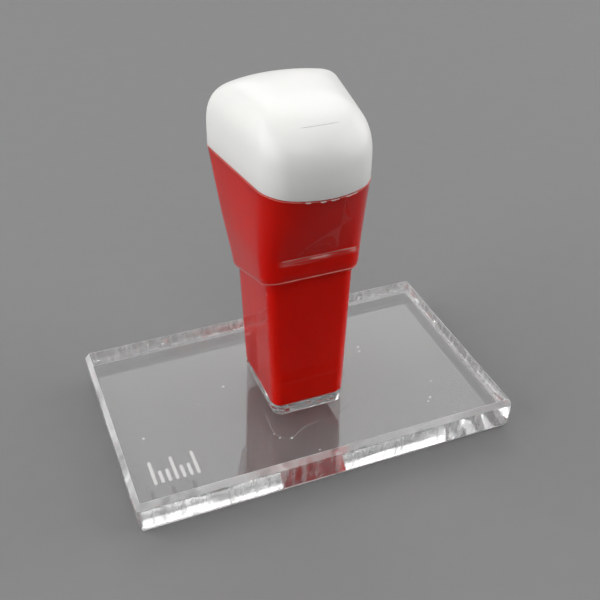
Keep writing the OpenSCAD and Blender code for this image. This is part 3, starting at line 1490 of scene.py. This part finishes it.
@dataclass(frozen=True)
class Panel:
    """One soft panel of light, in metres, whose level of 1 looks white."""

    name: str
    place: Spot
    aim: Spot
    size: Point
    level: float

    def hang(self) -> None:
        """Hang the panel and turn it to its aim."""
        wide, tall = self.size
        data = bpy.data.lights.new(self.name, "AREA")
        data.shape = "RECTANGLE"
        data.size, data.size_y = wide, tall
        data.energy = self.level * math.pi * wide * tall
        lamp = bpy.data.objects.new(self.name, data)
        lamp.location = self.place
        lamp.rotation_mode = "QUATERNION"
        lamp.rotation_quaternion = (Vector(self.aim) - Vector(self.place)).to_track_quat("-Z", "Y")
        lamp.visible_camera = False
        bpy.context.scene.collection.objects.link(lamp)


@dataclass
class Studio:
    """Floor, soft light and camera."""

    panels: tuple[Panel, ...] = (
        Panel("top_panel", (-0.1, -0.05, 0.8), (0.0, 0.0, 0.03), (1.0, 0.8), 0.68),
        Panel("front_panel", (-0.2, -0.5, 0.7), (0.0, 0.0, 0.03), (0.6, 0.4), 1.7),
        Panel("back_panel", (0.218, 0.54, 0.527), (0.0, 0.0, 0.01), (0.62, 0.42), 2.2),
        Panel("far_panel", (-0.41, 0.56, 0.65), (0.0, 0.0, 0.01), (0.5, 0.4), 1.2),
        Panel("left_panel", (-0.6, 0.1, 0.3), (0.0, 0.0, 0.03), (0.8, 0.6), 2.7),
        Panel("right_panel", (0.6, -0.1, 0.3), (0.0, 0.0, 0.03), (0.8, 0.6), 2.5),
    )
    floor_half: float = 1.5
    floor_drop: float = 0.00015
    bounces: int = 32
    room_tint: Colour = (0.97, 0.985, 1.0, 1.0)
    room_light: float = 0.1
    room_shown: float = 0.25
    lens: float = 54.318
    eye: Spot = (-0.040186, -0.099795, 0.098075)
    right: Spot = (0.92754774, -0.37352017, 0.01174215)
    up: Spot = (0.21052449, 0.5482316, 0.80939579)
    back: Spot = (-0.30876307, -0.74828123, 0.58714613)

    def floor(self) -> None:
        """Lay the floor just under the plate."""
        mesh = bmesh.new()
        half, z = self.floor_half / MM, -self.floor_drop / MM
        bmesh.ops.create_grid(mesh, x_segments=8, y_segments=8, size=half)
        bmesh.ops.translate(mesh, vec=(0.0, 0.0, z), verts=mesh.verts)
        settle(mesh, "floor", [FloorFinish().make()])

    def light(self) -> None:
        """Set the soft room light and the panels."""
        g = Graph("soft_room", room=True)
        seen = g.node("ShaderNodeLightPath", out="Is Camera Ray")
        strength = self.room_light + (self.room_shown - self.room_light) * seen
        sky = g.node("ShaderNodeBackground", {}, {"Color": self.room_tint, "Strength": strength})
        g.node("ShaderNodeOutputWorld", {}, {"Surface": sky}, None)
        bpy.context.scene.world = g.owner
        for panel in self.panels:
            panel.hang()

    def camera(self) -> None:
        """Stand the camera where the photograph was taken."""
        data = bpy.data.cameras.new("camera")
        data.sensor_width = 36.0
        data.lens = self.lens
        data.clip_start = 0.001
        made = bpy.data.objects.new("camera", data)
        axes = Matrix((self.right, self.up, self.back)).transposed().to_4x4()
        made.matrix_world = Matrix.Translation(Vector(self.eye)) @ axes
        bpy.context.scene.collection.objects.link(made)
        bpy.context.scene.camera = made

    def build(self) -> None:
        """Set up the whole stage."""
        self.floor()
        self.light()
        self.camera()
        scene = bpy.context.scene
        scene.view_settings.view_transform = "Standard"
        scene.cycles.max_bounces = self.bounces
        scene.cycles.glossy_bounces = self.bounces
        scene.cycles.transmission_bounces = self.bounces
        scene.cycles.transparent_max_bounces = self.bounces


def main() -> None:
    """Build every piece in order and report it."""
    logging.basicConfig(level=logging.INFO, format="%(name)s: %(message)s")
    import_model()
    handle = Handle()
    plate = Plate(handle)
    joint = CementJoint(handle, ClearFinish("clear_cement", haze=0.08))
    pieces = [plate.build(), *joint.build()]
    pieces += [Shell(handle).build(), Core(handle).build(), Cap(handle).build(), *SkinMarks(handle).build()]
    pieces += [RuledMark(plate.thick).build(), Crumbs(handle).build()]
    for piece in pieces:
        LOG.info("%s: %d faces", piece.name, len(piece.data.polygons))
    Studio().build()


if __name__ == "__main__":
    main()
